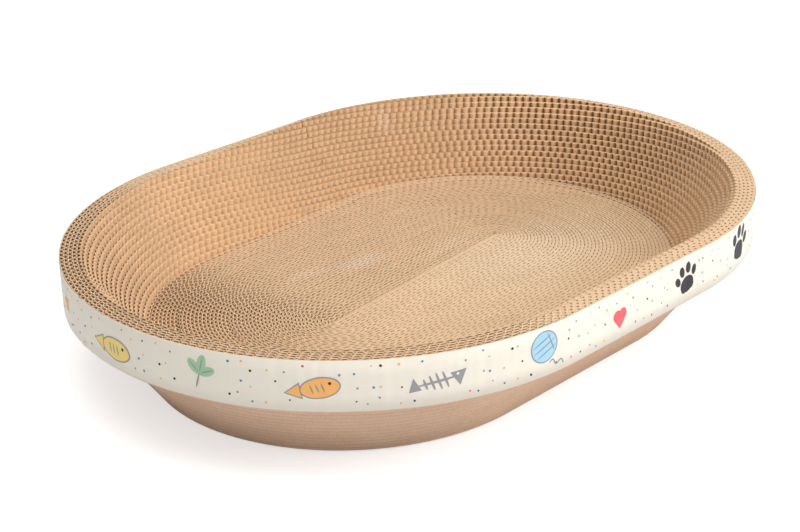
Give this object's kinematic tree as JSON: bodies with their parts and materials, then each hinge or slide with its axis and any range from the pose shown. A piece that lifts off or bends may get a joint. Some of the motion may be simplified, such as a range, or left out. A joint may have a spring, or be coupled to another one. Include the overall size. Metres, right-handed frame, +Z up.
{
  "type": "cat scratcher",
  "caption": "Oval bowl-shaped cat scratcher bed wound from corrugated cardboard strip, with a level floor, a stepped wall, a flat rim and a printed paper band.",
  "frame": {"origin": "middle of the bed's underside, on the surface that it rests on", "axes": "+X along the oval's length, +Y across it, +Z up out of the bed"},
  "size_m": [0.544, 0.4054, 0.0935],
  "materials": {
    "core_board": "matt kraft board, cut edge",
    "floor_board": "matt kraft board, cut edge, lightly scuffed",
    "wall_board": "matt kraft board",
    "rim_board": "matt kraft board, clean cut edge",
    "band_paper": "smooth printed paper, satin"
  },
  "bodies": {
    "root": {"core_strip": "core_board", "packed_floor_winding": "floor_board", "floor_turn_1": "floor_board", "floor_turn_2": "floor_board", "floor_turn_3": "floor_board", "floor_turn_4": "floor_board", "wall_turn_01": "wall_board", "wall_turn_02": "wall_board", "wall_turn_03": "wall_board", "wall_turn_04": "wall_board", "wall_turn_05": "wall_board", "wall_turn_06": "wall_board", "wall_turn_07": "wall_board", "wall_turn_08": "wall_board", "wall_turn_09": "wall_board", "wall_turn_10": "wall_board", "wall_turn_11": "wall_board", "wall_turn_12": "wall_board", "wall_turn_13": "wall_board", "wall_turn_14": "wall_board", "wall_turn_15": "wall_board", "rim_turn_1": "rim_board", "rim_turn_2": "rim_board", "rim_turn_3": "rim_board", "rim_turn_4": "rim_board", "rim_turn_5": "rim_board", "printed_band": "band_paper"}
  },
  "joints": []
}
